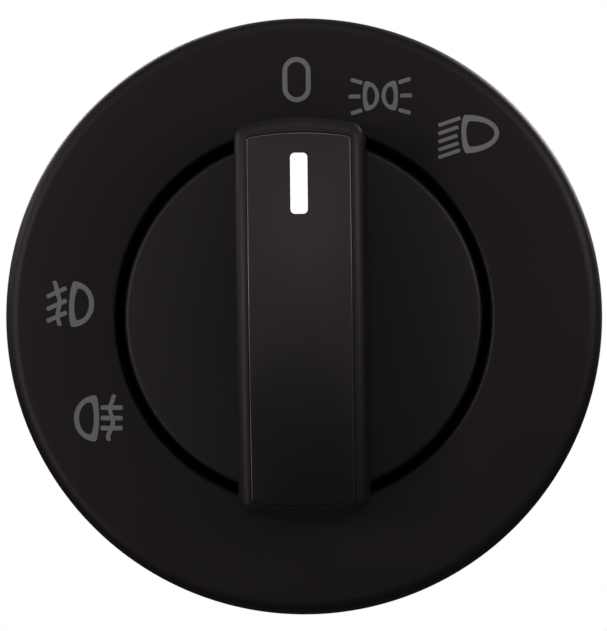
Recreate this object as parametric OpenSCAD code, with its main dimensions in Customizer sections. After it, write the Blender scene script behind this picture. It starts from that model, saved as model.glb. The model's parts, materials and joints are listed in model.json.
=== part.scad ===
// Round push-in headlight switch: a knob that turns and pulls in a ring bezel, with
// the rotary contact stage, the fog slider, the side latches and the connector behind.
// Pieces are drawn with +z towards the driver, +y up and z = 0 on the dashboard's face,
// and stand() turns them so that the driver is at -Y and up is +Z.

/* [Bezel] */
// Diameter of the bezel
face_d = 69; // [68:0.5:72]
// Height of the bezel's face above the dashboard
face_h = 4.5; // [4.3:0.1:5.5]
// Wall of the bezel
face_wall = 1.8; // [1.5:0.1:2]
// Round on the bezel's outer rim
rim_round = 1.8; // [1.2:0.1:1.9]
// Wall of the bezel's outer rim
rim_wall = 1.6; // [1.4:0.1:1.8]
// Diameter of the well that holds the knob
well_d = 43.2; // [42.6:0.1:43.6]
// Round on the well's edge
well_round = 0.35; // [0.2:0.05:0.6]
// Depth of the well from the bezel's face
well_depth = 12.1; // [11.8:0.1:13]
// Wall of the well's collar
collar_wall = 1.2; // [1:0.1:1.3]

/* [Knob] */
// Gap between the knob's disc and the well
knob_gap = 0.9; // [0.7:0.05:1.1]
// How far the knob's disc lies under the bezel's face
knob_sink = 0.3; // [0.1:0.1:0.6]
// Thickness of the knob's disc
disc_t = 1.6; // [1.4:0.1:2]
// Wall of the knob's skirt
skirt_wall = 1.4; // [1.2:0.1:1.6]
// Round on the disc's edge
disc_round = 0.4; // [0.2:0.1:0.6]
// Width of the grip bar at its base
grip_w = 15.4; // [15:0.1:16.4]
// Height of the grip bar's crown above the disc
grip_h = 12.3; // [11.6:0.1:13]
// How far the grip bar's ends reach past the disc
grip_reach = 2.4; // [2:0.1:2.6]
// Radius of the grip panel's four corners
panel_corner = 0.3; // [0.25:0.05:0.8]
// Radius of the grip panel's two ends, which are flatter than the bar's
panel_end_r = 33; // [28:1:40]
// How far the grip panel's ends stay back from the bar's
end_inset = 2.4; // [2.2:0.1:2.6]
// How far the grip bar's sides lean in on their way up
grip_draft = 0.5; // [0.4:0.1:0.8]
// Round on the grip bar's shoulder
grip_round = 1.4; // [1.3:0.05:1.6]
// Radius of the grip bar's lengthwise crown
crown_r = 106; // [95:1:140]
// Wall of the grip bar
grip_wall = 1.5; // [1.3:0.1:1.7]
// Thickness of the inlaid grip panel
panel_inlay_t = 1.2; // [1:0.1:1.4]
// Width of the pointer
pointer_w = 1.9; // [1.8:0.05:2.6]
// Length of the pointer
pointer_l = 6.8; // [6:0.1:7.6]
// Distance of the pointer's middle from the knob's axis
pointer_y = 14.85; // [14.6:0.05:15.2]

/* [Travels] */
// How far the knob pulls out to the rear fog lamp position
pull_travel = 8; // [7:0.1:8.5]
// How far the knob pushes in to unlock the switch
push_travel = 2.5; // [2:0.1:2.8]
// Angle between two lamp positions
step_angle = 22; // [20:0.5:23]
// Angle that the release ring turns to draw the latches in
release_angle = 22; // [18:0.5:24]
// How far each latch draws in
latch_throw = 3; // [2.6:0.1:3.1]

/* [Housing] */
// Diameter of the dashboard hole's spigot
spigot_d = 57.8; // [57.6:0.1:58.4]
// Thickness of the dashboard that the latches clamp
dash_t = 3; // [2.8:0.1:3.6]
// Step from the spigot down to the barrel
spigot_step = 0.9; // [0.8:0.05:1]
// Wall of the barrel
barrel_wall = 1.6; // [1.5:0.05:1.7]
// Thickness of the housing's flange
flange_t = 1.2; // [1:0.1:1.3]
// Width of each latch
latch_w = 10; // [8:0.5:11]
// Thickness of each latch's tongue
tongue_t = 3; // [3:0.1:3.6]
// Thickness of the shelf that carries the latches
shelf_t = 1.6; // [1.4:0.1:2]

/* [Contact stage] */
// Thickness of the bearing plate behind the knob
bearing_t = 1.5; // [1.3:0.1:1.8]
// Radius of the rotor's boss, which turns in the bearing plate
boss_r = 6; // [5.8:0.1:6.4]
// Radius of the rotor
rotor_r = 16; // [15.6:0.1:16.2]
// Thickness of the rotor
rotor_t = 6; // [5.6:0.1:6.6]
// Side of the square drive shaft
shaft_side = 6; // [5.6:0.1:6.1]
// Radius of the shaft's round tail
tail_r = 2; // [1.8:0.1:2.2]
// Thickness of the release ring
ring_t = 1.4; // [1.2:0.1:1.6]
// Radius of each latch's pin
latch_pin_r = 1.2; // [1:0.1:1.3]
// Distance between the rotor and the contact plate
contact_gap = 2; // [1.8:0.1:2.4]
// Thickness of the contact plate
contact_plate_t = 1.5; // [1.3:0.1:2]
// Thickness of the fog slider
slider_t = 4; // [3.6:0.1:4.6]
// Radius of the two posts that guide the fog slider
post_r = 1.5; // [1.3:0.1:1.7]
// Thickness of the lamp board
board_t = 1.6; // [1.4:0.1:1.7]

/* [Connector] */
// Thickness of the rear cover
cover_t = 2; // [1.8:0.1:2.6]
// Width of the connector's shroud
shroud_w = 34; // [33:0.5:37]
// Height of the connector's shroud
shroud_h = 15; // [14.6:0.1:17]
// Depth of the connector's shroud
shroud_l = 12; // [11:0.5:15]
// Wall of the connector's shroud
shroud_wall = 1.5; // [1.3:0.1:1.7]
// Width of a terminal blade
blade_w = 2.8; // [2.4:0.1:3]
// Thickness of a terminal blade
blade_t = 0.8; // [0.6:0.1:0.9]
// Distance between neighbouring blades
blade_pitch = 4.6; // [4.2:0.1:4.8]
// How far the blades stand out of the rear cover
blade_l = 7.6; // [6:0.1:9]

/* [Hidden] */
$fn = 96;

// Clearances: a close fit, a running fit, a seat and a gap between moving neighbours
fit_gap = 0.05;
run_gap = 0.08;
seat_gap = 0.02;
free_gap = 0.3;
// How far a cut runs past the face it opens
over = 1;

// Levels of the face
face_z = face_h;
face_under = face_z - face_wall;
disc_z = face_z - knob_sink;
plate_front = face_z - well_depth;
plate_back = plate_front - bearing_t;
skirt_end = plate_front + push_travel + 0.5;
dog_end = plate_front + free_gap;

// Radii of the face
face_r = face_d / 2;
well_r = well_d / 2;
collar_r = well_r + collar_wall;
disc_r = well_r - knob_gap;
rim_in = face_r - rim_wall;
bead = 0.35;
bead_low = 0.4;
bead_h = 0.4;

// The housing's tube
spigot_r = spigot_d / 2;
barrel_r = spigot_r - spigot_step;
barrel_in = barrel_r - barrel_wall;
latch_front = -(dash_t + 0.4);
board_back = latch_front + 0.2;
board_front = board_back + board_t;
led_h = 0.9;
led_size = 1.6;

// The grip bar
grip_top = disc_z + grip_h;
grip_half = grip_w / 2;
grip_end = disc_r + grip_reach;
lip_z = face_z + push_travel + 0.4;
panel_inset = grip_draft + grip_round;
grip_corner = panel_corner + panel_inset;
panel_proud = 0.12;
panel_bevel = 0.18;
panel_ledge = 1;
cavity_top = 3;
pointer_tilt = asin(pointer_y / crown_r);
hub_r = 5.4;
boss_front = plate_front + free_gap;
spring_room = 1.4;
hub_end = boss_front + push_travel + spring_room;
hub_rise = 6.8;
hub_top = disc_z + hub_rise;
stub_r = 3;
stub_flat = 2.3;
hub_cap = 1.2;

// The rotor and the release ring
rotor_front = plate_back - 0.4;
rotor_back = rotor_front - rotor_t;
collar_gap = 0.6;
ring_collar_wall = 0.9;
ring_collar_r = rotor_r + collar_gap + ring_collar_wall;
ring_in = ring_collar_r + run_gap;
ring_front = plate_back - 0.2;
ring_back = ring_front - ring_t;
ring_edge = 0.7;
slot_slope = atan(latch_throw / (release_angle * PI / 180 * (ring_in + 2)));
slot_half = (latch_pin_r + fit_gap) / cos(slot_slope);
pin_x = ring_in + ring_edge + slot_half + latch_throw;
ring_r = pin_x + slot_half + 1.2;
dog_in = disc_r - skirt_wall + 0.1;
dog_out = disc_r - 0.1;
dog_gap = 0.2;
dog_half = 5;

// The latches and the shelf that carries them
tongue_front = ring_back - free_gap;
tongue_back = tongue_front - tongue_t;
shelf_front = tongue_back - 0.2;
shelf_back = shelf_front - shelf_t;
shelf_in = rotor_r + 1;
tongue_in = pin_x - latch_pin_r - 0.6;
arm_step = 0.6;
arm_in = barrel_in + arm_step;
latch_tip = barrel_r + latch_throw;
latch_land = 1;
pocket_half = 1.9;
pocket_end = arm_in - 1.6;
pocket_roof = 0.8;
latch_post = [1.2, 3];
latch_post_x = tongue_in - latch_throw + 0.6;
latch_wire = 0.4;
latch_coil_r = 0.75;
detent_wire = 0.25;

// The ball that clicks into the rotor's rim
ball_r = 1;
ball_y = rotor_r + free_gap + ball_r;
notch_r = 1.25;
notch_depth = 0.7;
ball_z = (shelf_front + tongue_front) / 2;
holder_w = 4.4;
holder_end = barrel_in - 1;
coil_end = holder_end - 1.9;

// The contact plate, the fog slider and the shaft's tail
contact_front = rotor_back - contact_gap;
contact_back = contact_front - contact_plate_t;
strip_t = 0.4;
contact_reach = 11;
contact_half_w = 2;
foot_r = 0.8;
bridge_t = 0.5;
slider_front = contact_back - pull_travel - bridge_t - 0.6;
slider_back = slider_front - slider_t;
circlip_t = 0.75;
circlip_r = 3.2;
tail_end = slider_back - circlip_t - 0.75;
cover_front = tail_end - push_travel - 0.4;
cover_back = cover_front - cover_t;
square_end = slider_front + fit_gap;
slider_w = 27;
slider_h = 7;
post_x = 8;
bridge_x = 12;
bridge_w = 3;
bridge_span = 10.4;
fog_strip_t = 0.6;
fog_strip_front = contact_back - 1.2;
riser_y = 9.5;
riser = [2.2, 0.5];
riser_pitch = 4.6;
riser_count = 5;

// The rear cover's screws and the bosses that take them
screw_r = 1.1;
screw_head_r = 2;
screw_head_t = 1.4;
screw_l = 8;
screw_ring = barrel_in - 3.35;
screw_angles = [45, 135, 225, 315];
screw_boss_r = 2.3;
seat_boss_r = 2.8;
rim_boss_gap = 0.05;
cover_rim_l = 3;

// The connector
blade_row = 3.6;
blade_end = cover_back - blade_l;
blade_root = 0.8;
blade_top = cover_front + blade_root;
blade_margin = 1.6;
blade_count = floor((shroud_w - 2 * shroud_wall - 2 * blade_margin) / blade_pitch);

// Where the five lamp positions lie round the face, counted from the right
sign_angles = [90, 90 - step_angle, 90 - 2 * step_angle, 175, 205];
led_ring = (collar_r + 0.3 + barrel_in) / 2;
leg_r = 1.3;
resistor_angles = [112, 132, 228, 312, 330];
resistor = [2, 1.2, 0.6];
pin_angles = [240, 255, 285, 300];
pin_ring = barrel_in - 0.65;
pin_side = 0.5;
pin_hole = 0.45;
lug_t = 0.8;
board_lugs = [40, 140, 220, 320];
plate_lugs = [30, 150, 270];
lug_half = 4;

// Turns the drawing frame into the part's frame
module stand() {
  rotate([90, 0, 0]) children();
}

// A tube between two levels
module tube(outer, inner, low, high) {
  translate([0, 0, low]) difference() {
    cylinder(r = outer, h = high - low);
    translate([0, 0, -over]) cylinder(r = inner, h = high - low + 2 * over);
  }
}

// A piece of a ring, from one angle to another
module ring_piece(outer, inner, low, high, from, to) {
  rotate([0, 0, from]) rotate_extrude(angle = to - from)
    translate([inner, low]) square([outer - inner, high - low]);
}

// A block given by its lowest and highest corners
module block(low, high) {
  translate(low) cube(high - low);
}

// A round bar between two levels
module rod(r, low, high) {
  translate([0, 0, low]) cylinder(r = r, h = high - low);
}

// The grip bar's outline drawn in by inset: its end arcs grow flatter on the way up to the
// panel, and they draw in further than its sides
function end_y(inset) = grip_end - end_inset * inset / panel_inset;
function end_r(inset) = grip_end + (panel_end_r - grip_end) * inset / panel_inset;
function end_centre(inset) = end_y(inset) - end_r(inset);
function corner_x() = grip_half - grip_corner;
function corner_rise(inset) = sqrt(pow(end_r(inset) - grip_corner + inset, 2) - pow(corner_x(), 2));
function corner_y(inset) = end_centre(inset) + corner_rise(inset);
function corner_angle(inset) = atan2(corner_rise(inset), corner_x());

// One side of the outline, from its lower end to its upper end
end_steps = 5;
corner_steps = 4;
side_steps = 14;
function end_arc(inset, side, from, to) = [
  for (k = [0:end_steps - 1])
    let (a = from + (to - from) * k / end_steps)
    [end_r(inset) * cos(a), side * end_centre(inset) + end_r(inset) * sin(a)]
];
function corner_arc(inset, side, from, to) = [
  for (k = [0:corner_steps - 1])
    let (a = from + (to - from) * k / corner_steps)
    [corner_x() + (grip_corner - inset) * cos(a),
     side * corner_y(inset) + (grip_corner - inset) * sin(a)]
];
function side_line(inset) = [
  for (k = [0:side_steps - 1])
    [grip_half - inset, corner_y(inset) * (2 * k / side_steps - 1)]
];
function half_outline(inset) = concat(
  end_arc(inset, -1, -90, -corner_angle(inset)),
  corner_arc(inset, -1, -corner_angle(inset), 0),
  side_line(inset),
  corner_arc(inset, 1, 0, corner_angle(inset)),
  end_arc(inset, 1, corner_angle(inset), 90),
  [[0, end_y(inset)]]
);
function outline(inset) =
  let (half = half_outline(inset), last = len(half) - 1)
  concat(half, [for (k = [last - 1:-1:1]) [-half[k].x, half[k].y]]);

// Height of the crown at a distance y from the axis
function crown(y) = grip_top - crown_r + sqrt(crown_r * crown_r - y * y);
function crown_ring(inset, drop) = [for (p = outline(inset)) [p.x, p.y, crown(p.y) - drop]];
function level_ring(inset, z) = [for (p = outline(inset)) [p.x, p.y, z]];

// Skins a list of equal rings; both ends are closed by strips that run straight across
module loft(rings) {
  n = len(rings[0]);
  half = n / 2;
  top = (len(rings) - 1) * n;
  polyhedron(
    points = [for (ring = rings) each ring],
    faces = concat(
      [for (r = [0:n:top - 1], k = [0:n - 1]) [r + k, r + n + k, r + n + (k + 1) % n]],
      [for (r = [0:n:top - 1], k = [0:n - 1]) [r + k, r + n + (k + 1) % n, r + (k + 1) % n]],
      [for (k = [0:half - 2]) [k, k + 1, n - k - 1]],
      [for (k = [1:half - 1]) [k, n - k - 1, n - k]],
      [for (k = [0:half - 2]) [top + k, top + n - k - 1, top + k + 1]],
      [for (k = [1:half - 1]) [top + k, top + n - k, top + n - k - 1]]
    )
  );
}

// The grip bar's outer form: leaning sides, then a round shoulder up to the panel's edge
shoulder_steps = 5;
module grip_form() {
  loft(concat(
    [level_ring(0, disc_z - disc_t / 2)],
    [for (k = [0:shoulder_steps])
      let (a = 90 * k / shoulder_steps)
      crown_ring(grip_draft + grip_round * (1 - cos(a)), grip_round * (1 - sin(a)))]
  ));
}

// A straight room inside the grip bar, half_w to each side and as far as reach from the axis
module straight_room(half_w, reach, low, high) {
  intersection() {
    block([-half_w, -reach - over, low], [half_w, reach + over, high]);
    rod(reach, low - over, high + over);
  }
}

// The room inside the grip bar, the opening over it and the seat that the panel drops into
module grip_room() {
  ceiling = crown(grip_end) - cavity_top;
  opening = panel_inset + panel_ledge;
  straight_room(grip_half - grip_wall - grip_draft, disc_r - skirt_wall,
    disc_z - disc_t - over, ceiling);
  straight_room(grip_half - opening, end_y(panel_inset) - panel_ledge,
    ceiling - over, grip_top + over);
  loft([
    crown_ring(panel_inset - fit_gap, panel_inlay_t + fit_gap),
    crown_ring(panel_inset - fit_gap, -over)
  ]);
}

// The flat-sided outline of the shaft's front stub
module stub_outline(gap) {
  difference() {
    circle(r = stub_r + gap);
    translate([-stub_r - over, stub_flat + gap]) square([2 * (stub_r + over), stub_r]);
  }
}

// The pointer's upright outline with rounded corners
module pointer_outline(w, l, corner) {
  square([w - 2 * corner, l], center = true);
  square([w, l - 2 * corner], center = true);
  for (x = [-1, 1], y = [-1, 1])
    translate([x * (w / 2 - corner), y * (l / 2 - corner)]) circle(r = corner, $fn = 32);
}

// Moves the pointer to its place, leaning with the crown
module at_pointer() {
  translate([0, pointer_y, crown(pointer_y)]) rotate([-pointer_tilt, 0, 0]) children();
}

// A coil spring of round wire along z, starting at z = 0
module coil(mean_r, wire, turns, length, sides, steps) {
  n = ceil(turns * steps);
  polyhedron(
    points = [
      for (t = [0:n], s = [0:sides - 1])
        let (
          a = 360 * turns * t / n,
          b = 360 * s / sides,
          r = mean_r + wire / 2 * cos(b)
        )
        [r * cos(a), r * sin(a),
         wire / 2 + (length - wire) * t / n + wire / 2 * sin(b)]
    ],
    faces = concat(
      [for (t = [0:n - 1], s = [0:sides - 1])
        [t * sides + s, t * sides + (s + 1) % sides, (t + 1) * sides + (s + 1) % sides]],
      [for (t = [0:n - 1], s = [0:sides - 1])
        [t * sides + s, (t + 1) * sides + (s + 1) % sides, (t + 1) * sides + s]],
      [[for (s = [sides - 1:-1:0]) s]],
      [[for (s = [0:sides - 1]) n * sides + s]]
    )
  );
}

// The bezel: a ring with a soft outer rim, a collar down into the well and a snap bead
module bezel() {
  color([0.11, 0.1, 0.1]) stand() rotate_extrude() {
    translate([well_r + well_round, face_under])
      square([face_r - rim_round - well_r - well_round, face_wall]);
    translate([face_r - rim_round, face_z - rim_round]) intersection() {
      circle(r = rim_round);
      square(rim_round);
    }
    translate([rim_in, 0]) square([rim_wall, face_z - rim_round]);
    translate([well_r, plate_front]) square([collar_wall, face_z - well_round - plate_front]);
    translate([well_r + well_round, face_z - well_round]) intersection() {
      circle(r = well_round);
      translate([-well_round, 0]) square(well_round);
    }
    translate([rim_in - bead, bead_low]) square([bead + 0.1, bead_h]);
  }
}

// The knob: a skirted disc with the hollow grip bar, a ribbed hub and two unlocking dogs
module knob() {
  rib_t = 1;
  color([0.13, 0.12, 0.12]) stand() difference() {
    union() {
      difference() {
        union() {
          rotate_extrude() {
            translate([0, disc_z - disc_t]) square([disc_r - disc_round, disc_t]);
            translate([disc_r - skirt_wall, skirt_end])
              square([skirt_wall, disc_z - disc_round - skirt_end]);
            translate([disc_r - disc_round, disc_z - disc_round]) circle(r = disc_round);
          }
          difference() {
            grip_form();
            tube(grip_end + over, disc_r - disc_round, disc_z - disc_t, lip_z);
          }
        }
        grip_room();
      }
      rod(hub_r, hub_end, disc_z - disc_t / 2);
      rod(stub_r + hub_cap, hub_end, hub_top);
      block([-grip_half + grip_wall / 2, -rib_t / 2, hub_end + over],
        [grip_half - grip_wall / 2, rib_t / 2, hub_top]);
      for (a = [45:90:315])
        rotate([0, 0, a])
          block([hub_r - 0.5, -rib_t / 2, 0], [disc_r - skirt_wall / 2, rib_t / 2, disc_z - 1]);
      for (a = [90, 270])
        ring_piece(dog_out, dog_in, dog_end, skirt_end + over, a - dog_half, a + dog_half);
    }
    translate([0, 0, hub_end - over])
      linear_extrude(hub_top - hub_cap - hub_end + over) stub_outline(seat_gap);
  }
}

// The inlaid panel on the grip bar, a little proud, with the pointer's window
module grip_panel() {
  edge = panel_inset + fit_gap / 2;
  color([0.2, 0.18, 0.18]) stand() difference() {
    loft([
      crown_ring(edge, panel_inlay_t),
      crown_ring(edge, panel_bevel - panel_proud),
      crown_ring(edge + panel_bevel, -panel_proud)
    ]);
    at_pointer() translate([0, 0, -3]) linear_extrude(5)
      pointer_outline(pointer_w + 2 * fit_gap, pointer_l + 2 * fit_gap, 0.55);
  }
}

// The pointer: a white light guide with a flange under the panel and a stem into the knob
module pointer() {
  flange_t = 0.8;
  flange_side = 0.6;
  stem_w = pointer_w - 0.2;
  stem_l = pointer_l - 2;
  color([0.95, 0.95, 0.93]) stand() {
    at_pointer() {
      translate([0, 0, -panel_inlay_t - 0.3]) linear_extrude(panel_inlay_t + 0.3 + panel_proud)
        pointer_outline(pointer_w, pointer_l, 0.5);
      block([-pointer_w / 2 - flange_side, -pointer_l / 2 - flange_side,
          -panel_inlay_t - 0.2 - flange_t],
        [pointer_w / 2 + flange_side, pointer_l / 2 + flange_side, -panel_inlay_t - 0.2]);
    }
    block([-stem_w / 2, pointer_y - stem_l / 2, skirt_end + 0.4],
      [stem_w / 2, pointer_y + stem_l / 2, crown(pointer_y + pointer_l / 2) - panel_inlay_t - 0.6]);
  }
}

// The shaft: a flatted stub in the knob, a square drive through the rotor and a grooved tail
module shaft() {
  groove = 0.4;
  color("silver") stand() {
    translate([0, 0, hub_end - fit_gap])
      linear_extrude(hub_top - hub_cap - 0.2 - hub_end + fit_gap) stub_outline(0);
    block([-shaft_side / 2, -shaft_side / 2, square_end],
      [shaft_side / 2, shaft_side / 2, hub_end - fit_gap]);
    rod(tail_r, slider_back - 2 * seat_gap, square_end);
    rod(tail_r - groove, slider_back - circlip_t - 4 * seat_gap, slider_back - 2 * seat_gap);
    rod(tail_r, tail_end, slider_back - circlip_t - 4 * seat_gap);
  }
}

// The open clip that keeps the fog slider on the shaft's tail
module circlip() {
  color("dimgray") stand() difference() {
    tube(circlip_r, tail_r - 0.4 + seat_gap, slider_back - circlip_t - 3 * seat_gap,
      slider_back - 3 * seat_gap);
    block([-0.9, 0, slider_back - circlip_t - over], [0.9, circlip_r + over, slider_back + over]);
  }
}

// The spring that pushes the knob back out
module push_spring() {
  wire = 0.6;
  color("gray") stand() translate([0, 0, boss_front + seat_gap])
    coil(shaft_side / 2 * sqrt(2) + 0.3 + wire / 2, wire, 3, hub_end - boss_front - 2 * seat_gap, 8, 14);
}

// The rotor: a drum with a boss in front, a square hole, ribs and three click notches
module rotor() {
  rim = 1.8;
  web = 3;
  hub = boss_r + 1.6;
  rib = 1;
  hole = shaft_side + 2 * run_gap;
  color([0.86, 0.84, 0.78]) stand() difference() {
    union() {
      rod(rotor_r, rotor_back, rotor_back + web);
      tube(rotor_r, rotor_r - rim, rotor_back, rotor_front);
      rod(hub, rotor_back, rotor_front);
      rod(boss_r, rotor_back, boss_front);
      for (a = [15:60:315])
        rotate([0, 0, a])
          block([hub - 0.5, -rib / 2, rotor_back], [rotor_r - rim / 2, rib / 2, rotor_front - 1]);
    }
    block([-hole / 2, -hole / 2, rotor_back - over], [hole / 2, hole / 2, boss_front + over]);
    for (k = [0:2])
      rotate([0, 0, 90 + k * step_angle])
        translate([rotor_r + notch_r - notch_depth, 0, rotor_back - over])
          cylinder(r = notch_r, h = rotor_t + 2 * over, $fn = 32);
  }
}

// Two bridge contacts on the rotor's back, each with two rounded feet
module rotor_contacts() {
  half = 30;
  bridge_half_w = contact_half_w - 0.2;
  color("gold") stand() for (side = [0, 180]) rotate([0, 0, side]) {
    ring_piece(contact_reach + bridge_half_w, contact_reach - bridge_half_w,
      rotor_back - seat_gap - strip_t, rotor_back - seat_gap, -half, half);
    for (a = [-half + 6, half - 6])
      rotate([0, 0, a]) translate([contact_reach, 0, 0])
        rod(foot_r, contact_front + strip_t + fit_gap, rotor_back - seat_gap - strip_t / 2);
  }
}

// The ball that clicks along the rotor's rim
module detent_ball() {
  color("lightgray") stand() translate([0, ball_y, ball_z]) sphere(r = ball_r);
}

// The spring behind the click ball
module detent_spring() {
  start = ball_y + ball_r + seat_gap;
  color("gray") stand() translate([0, start, ball_z]) rotate([-90, 0, 0])
    coil(ball_r - detent_wire, detent_wire, 6, coil_end - start - seat_gap, 6, 10);
}

// The plate behind the knob: the rotor's bearing, slots for the knob's dogs and the collar
// that the release ring turns on
module bearing_plate() {
  color([0.25, 0.25, 0.26]) stand() difference() {
    union() {
      rod(barrel_in - fit_gap, plate_back, plate_front);
      rod(ring_collar_r, ring_back, plate_back + 0.1);
    }
    rod(boss_r + fit_gap, ring_back - over, plate_front + over);
    rod(rotor_r + collar_gap, ring_back - over, plate_back);
    for (a = [0, 180]) {
      rotate([0, 0, a])
        block([arm_in - latch_throw - free_gap, -latch_w / 2 - free_gap, plate_back - over],
          [barrel_r, latch_w / 2 + free_gap, plate_front + over]);
      ring_piece(dog_out + dog_gap, dog_in - dog_gap, plate_back - over, plate_front + over,
        a + 90 - 2 * step_angle - release_angle - dog_half - 1, a + 90 + dog_half + 1);
    }
    for (a = pin_angles)
      rotate([0, 0, a])
        block([pin_ring - pin_hole, -pin_hole, plate_back - over],
          [barrel_in + over, pin_hole, plate_front + over]);
  }
}

// How far a latch has come in when the ring has turned by an angle
function drawn_in(a) = latch_throw * min(1, max(0, a / release_angle));

// A cut through the release ring between two curves, given as lists of [radius, angle]
module ring_cut(outer, inner) {
  back = [for (k = [len(inner) - 1:-1:0]) inner[k]];
  translate([0, 0, ring_back - over]) linear_extrude(ring_t + 2 * over)
    polygon([for (p = concat(outer, back)) [p[0] * cos(p[1]), p[0] * sin(p[1])]]);
}

// A curved slot whose distance from the axis falls evenly with the angle, so that the
// latch's pin moves in step with the ring
module spiral_slot() {
  lead = 4;
  angles = [-lead, for (k = [0:12]) release_angle * k / 12, release_angle + lead];
  ring_cut([for (a = angles) [pin_x - drawn_in(a) + slot_half, a]],
    [for (a = angles) [pin_x - drawn_in(a) - slot_half, a]]);
}

// The part of the ring's edge that gives way to a latch's arm as it comes in
module arm_room() {
  half = asin((latch_w / 2 + free_gap) / (arm_in - latch_throw));
  angles = [for (k = [0:20]) -half + (release_angle + 2 * half) * k / 20];
  ring_cut([for (a = angles) [arm_in + over, a]],
    [for (a = angles) [arm_in - free_gap - drawn_in(a + half), a]]);
}

// The release ring: two spiral slots draw the latches in, and two long notches take the
// knob's dogs at every lamp position
module release_ring() {
  color([0.75, 0.2, 0.16]) stand() difference() {
    tube(ring_r, ring_in, ring_back, ring_front);
    for (a = [0, 180])
      rotate([0, 0, a]) {
        spiral_slot();
        arm_room();
        ring_piece(dog_out + dog_gap, dog_in - dog_gap, ring_back - over, ring_front + over,
          90 - 2 * step_angle - dog_half - 1, 90 + release_angle + dog_half + 1);
      }
  }
}

// A side latch: a wedge behind the dashboard, a tongue inside with a pin and a spring pocket
module latch() {
  difference() {
    union() {
      translate([0, latch_w / 2, 0]) rotate([90, 0, 0]) linear_extrude(latch_w) polygon([
        [arm_in, latch_front], [latch_tip, latch_front], [latch_tip, latch_front - latch_land],
        [barrel_r + 0.1, tongue_back], [tongue_in, tongue_back], [tongue_in, tongue_front],
        [arm_in, tongue_front]
      ]);
      translate([pin_x, 0, 0]) rod(latch_pin_r, tongue_front - 0.3, plate_back - 0.5);
    }
    block([tongue_in - over, -pocket_half, tongue_back - over],
      [pocket_end, pocket_half, tongue_front - pocket_roof]);
  }
}

module latch_right() {
  color([0.8, 0.8, 0.76]) stand() latch();
}

module latch_left() {
  color([0.8, 0.8, 0.76]) stand() rotate([0, 0, 180]) latch();
}

// The spring between a housing post and the end of a latch's pocket
module latch_spring() {
  start = latch_post_x + latch_post.x + seat_gap;
  translate([start, 0, (shelf_front + tongue_front - pocket_roof) / 2]) rotate([0, 90, 0])
    coil(latch_coil_r, latch_wire, 5, pocket_end - start - seat_gap, 6, 12);
}

module latch_spring_right() {
  color("gray") stand() latch_spring();
}

module latch_spring_left() {
  color("gray") stand() rotate([0, 0, 180]) latch_spring();
}

// Moves its children to each of the rear cover's screws
module at_screws() {
  for (a = screw_angles)
    rotate([0, 0, a]) translate([screw_ring, 0, 0]) children();
}

// The housing: flange, spigot and barrel, with the latch shelf, its guides, the click
// ball's holder, the bosses for the rear cover and the lugs that carry the plates
module housing() {
  web_t = 1.2;
  rail_t = 1.2;
  key_w = 3;
  key_h = 0.7;
  key_l = 16;
  color([0.16, 0.16, 0.17]) stand() difference() {
    union() {
      rotate_extrude() difference() {
        union() {
          translate([barrel_in, 0]) square([rim_in - fit_gap - barrel_in, flange_t]);
          translate([barrel_in, -dash_t]) square([spigot_r - barrel_in, dash_t]);
          translate([barrel_in, cover_front]) square([barrel_wall, -cover_front]);
          translate([shelf_in, shelf_back]) square([barrel_r - shelf_in, shelf_t]);
        }
        translate([rim_in - bead - fit_gap, bead_low - fit_gap])
          square([bead + over, bead_h + 2 * fit_gap]);
      }
      for (a = board_lugs)
        ring_piece(barrel_in + 0.5, barrel_in - 0.7, board_back - lug_t, board_back,
          a - lug_half, a + lug_half);
      for (a = plate_lugs)
        ring_piece(barrel_in + 0.5, ring_r + free_gap, plate_back - lug_t, plate_back,
          a - lug_half, a + lug_half);
      for (a = [0, 180])
        rotate([0, 0, a]) {
          for (side = [-1, 1])
            translate([0, side * (latch_w / 2 + free_gap + rail_t / 2), 0])
              block([tongue_in, -rail_t / 2, shelf_front - 0.2],
                [barrel_in + 0.4, rail_t / 2, tongue_front - 0.2]);
          block([latch_post_x, -latch_post.y / 2, shelf_front - 0.2],
            [latch_post_x + latch_post.x, latch_post.y / 2,
             tongue_front - pocket_roof - free_gap]);
        }
      block([-holder_w / 2, shelf_in + 0.1, shelf_front - 0.2],
        [holder_w / 2, holder_end, tongue_front - 0.1]);
      at_screws() {
        rod(screw_boss_r, cover_front, shelf_back + 0.2);
        rod(seat_boss_r, contact_front + seat_gap, shelf_back + 0.2);
        block([0, -web_t / 2, cover_front + cover_rim_l + 0.2],
          [barrel_in - screw_ring + 0.4, web_t / 2, shelf_back + 0.2]);
      }
      rotate([0, 0, -90])
        block([barrel_r - 0.4, -key_w / 2, -dash_t - 0.2 - key_l],
          [barrel_r + key_h, key_w / 2, -dash_t - 0.2]);
    }
    for (a = [0, 180])
      rotate([0, 0, a])
        block([barrel_in - over, -latch_w / 2 - 0.15, shelf_front],
          [spigot_r + over, latch_w / 2 + 0.15, latch_front + 0.1]);
    translate([0, shelf_in - over, ball_z]) rotate([-90, 0, 0])
      cylinder(r = ball_r + fit_gap, h = coil_end - shelf_in + over, $fn = 48);
    for (a = pin_angles)
      rotate([0, 0, a])
        block([pin_ring - pin_hole, -pin_hole, shelf_back - over],
          [pin_ring + pin_hole, pin_hole, shelf_front + over]);
    at_screws() rod(screw_r + fit_gap, cover_front - over, cover_front + screw_l + over);
  }
}

// The clear ring behind the bezel's signs, with a leg over each lamp
module light_guide() {
  low = flange_t + 0.1;
  color([0.85, 0.9, 0.9, 0.6]) stand() union() {
    tube(rim_in - 1.7, collar_r + 0.35, low, face_under - 0.1);
    for (a = sign_angles)
      rotate([0, 0, a]) translate([led_ring, 0, 0])
        rod(leg_r, board_front + led_h + 0.15, low + 0.1);
  }
}

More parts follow.
